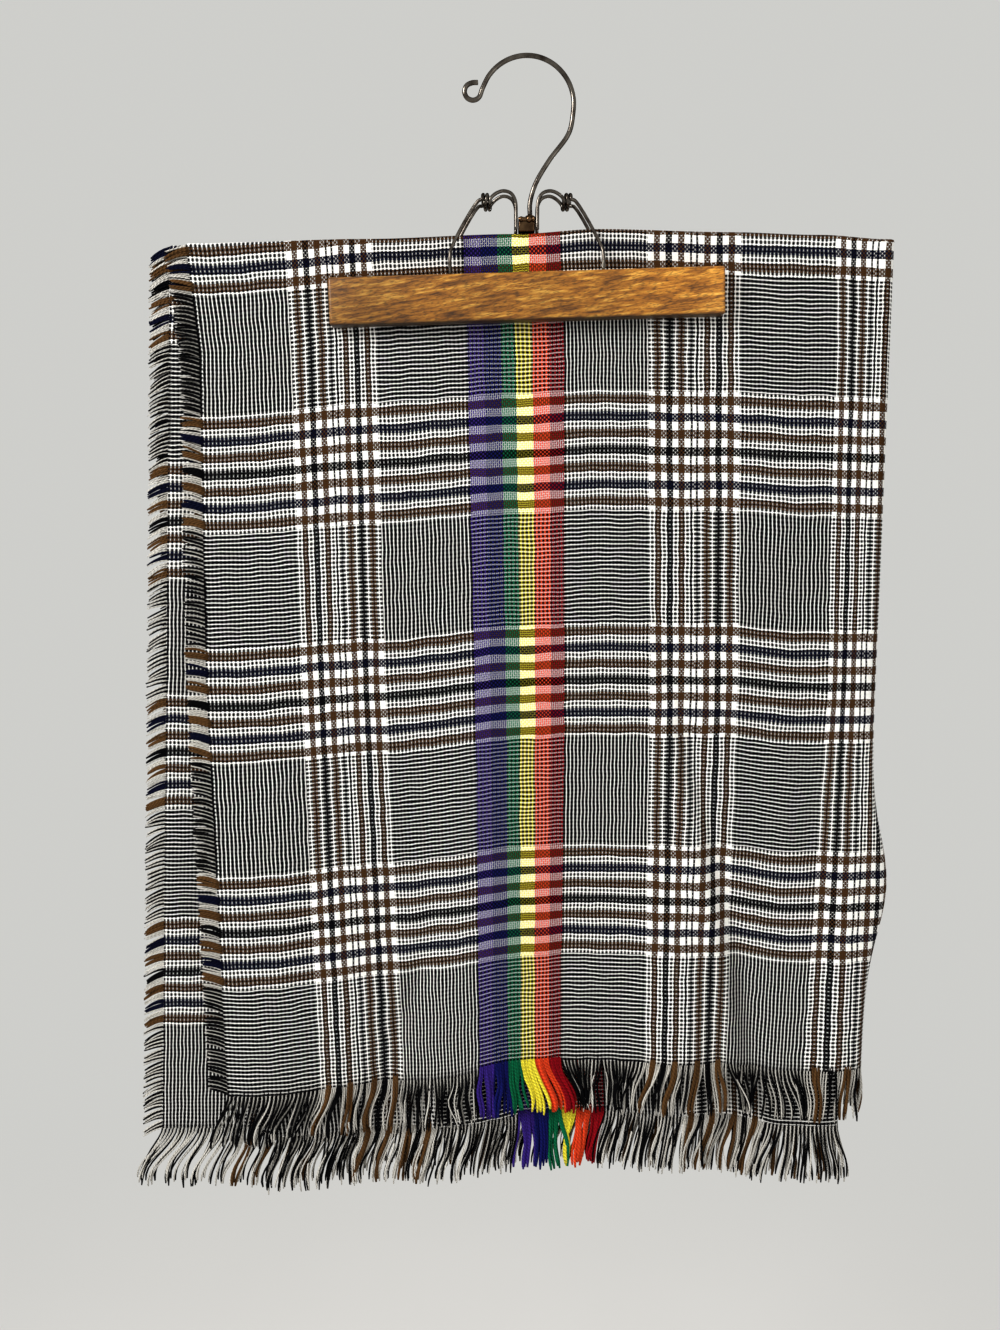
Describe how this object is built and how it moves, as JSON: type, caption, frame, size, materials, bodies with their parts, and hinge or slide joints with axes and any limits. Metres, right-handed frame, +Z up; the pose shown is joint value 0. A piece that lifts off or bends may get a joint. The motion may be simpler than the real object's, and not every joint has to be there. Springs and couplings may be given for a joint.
{
  "type": "plaid scarf on a wooden clamp hanger",
  "caption": "Fringed woven plaid shawl scarf with a rainbow stripe, folded in four and hung in a wooden clamp hanger with a wire hook.",
  "frame": {"origin": "inside of the hook's crown, where it rests on a rail", "axes": "+X to the right of the front side, +Y to the back, +Z up"},
  "size_m": [0.4906, 0.0302, 0.725],
  "materials": {
    "cloth": "plain-woven black and white plaid with brown, navy and rainbow stripes",
    "fringe": "loose yarn ends of the cloth",
    "wood": "honey varnish, satin",
    "steel": "polished nickel-plated wire"
  },
  "bodies": {
    "root": {"shawl_cloth": "cloth", "front_hem_fringe": "fringe", "rear_hem_fringe": "fringe", "front_side_fringe": "fringe", "back_side_fringe": "fringe", "front_bar": "wood", "rear_bar": "wood", "hook": "steel", "bracket": "steel", "front_left_spring": "steel", "front_right_spring": "steel", "rear_left_spring": "steel", "rear_right_spring": "steel"}
  },
  "joints": []
}
